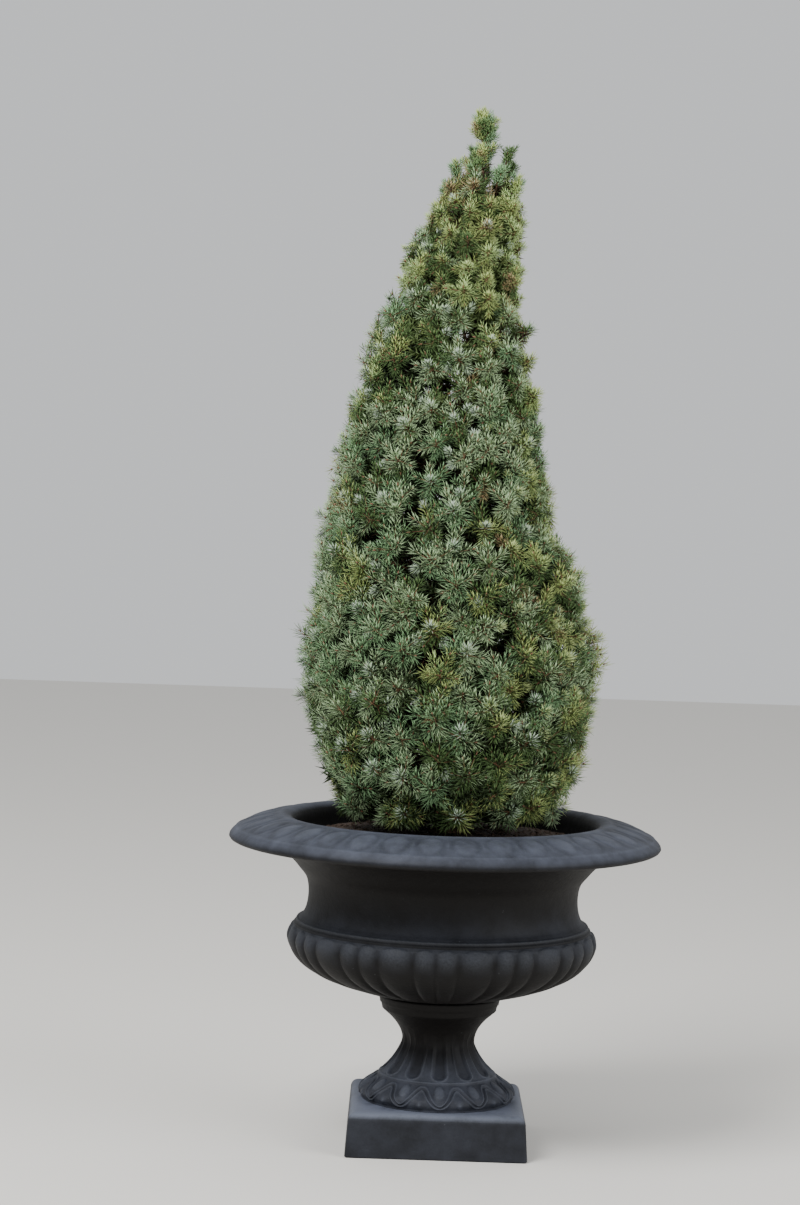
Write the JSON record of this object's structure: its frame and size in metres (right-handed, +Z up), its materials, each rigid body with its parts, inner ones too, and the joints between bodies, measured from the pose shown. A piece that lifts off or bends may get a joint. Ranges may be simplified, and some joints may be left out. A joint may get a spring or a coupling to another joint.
{
  "type": "potted blue spruce",
  "caption": "Narrow conical blue spruce with dense, short-needled foliage, growing in a black cast-iron campana urn with a gadrooned bowl and a square plinth.",
  "frame": {"origin": "middle of the flat underside of the urn's square plinth", "axes": "+Z up along the urn's axis; -Y is the side shown in the picture, with +X to its right"},
  "size_m": [0.6178, 0.6178, 1.475],
  "materials": {
    "iron": "matt",
    "soil": "matt",
    "bark": "matt",
    "needles": "matt"
  },
  "bodies": {
    "root": {"urn_pedestal": "iron", "urn_bowl": "iron", "potting_soil": "soil", "trunk": "bark", "bough_1_1": "bark", "foliage_1_1": "needles", "bough_1_2": "bark", "foliage_1_2": "needles", "bough_1_3": "bark", "foliage_1_3": "needles", "bough_1_4": "bark", "foliage_1_4": "needles", "bough_1_5": "bark", "foliage_1_5": "needles", "bough_2_1": "bark", "foliage_2_1": "needles", "bough_2_2": "bark", "foliage_2_2": "needles", "bough_2_3": "bark", "foliage_2_3": "needles", "bough_2_4": "bark", "foliage_2_4": "needles", "bough_2_5": "bark", "foliage_2_5": "needles", "bough_3_1": "bark", "foliage_3_1": "needles", "bough_3_2": "bark", "foliage_3_2": "needles", "bough_3_3": "bark", "foliage_3_3": "needles", "bough_3_4": "bark", "foliage_3_4": "needles", "bough_4_1": "bark", "foliage_4_1": "needles", "bough_4_2": "bark", "foliage_4_2": "needles", "bough_4_3": "bark", "foliage_4_3": "needles", "bough_4_4": "bark", "foliage_4_4": "needles", "bough_5_1": "bark", "foliage_5_1": "needles", "bough_5_2": "bark", "foliage_5_2": "needles", "bough_5_3": "bark", "foliage_5_3": "needles", "bough_6_1": "bark", "foliage_6_1": "needles", "bough_6_2": "bark", "foliage_6_2": "needles", "bough_6_3": "bark", "foliage_6_3": "needles", "bough_spire_right": "bark", "foliage_spire_right": "needles", "bough_spire_back": "bark", "foliage_spire_back": "needles", "bough_spire_left": "bark", "foliage_spire_left": "needles", "foliage_leader": "needles"}
  },
  "joints": []
}
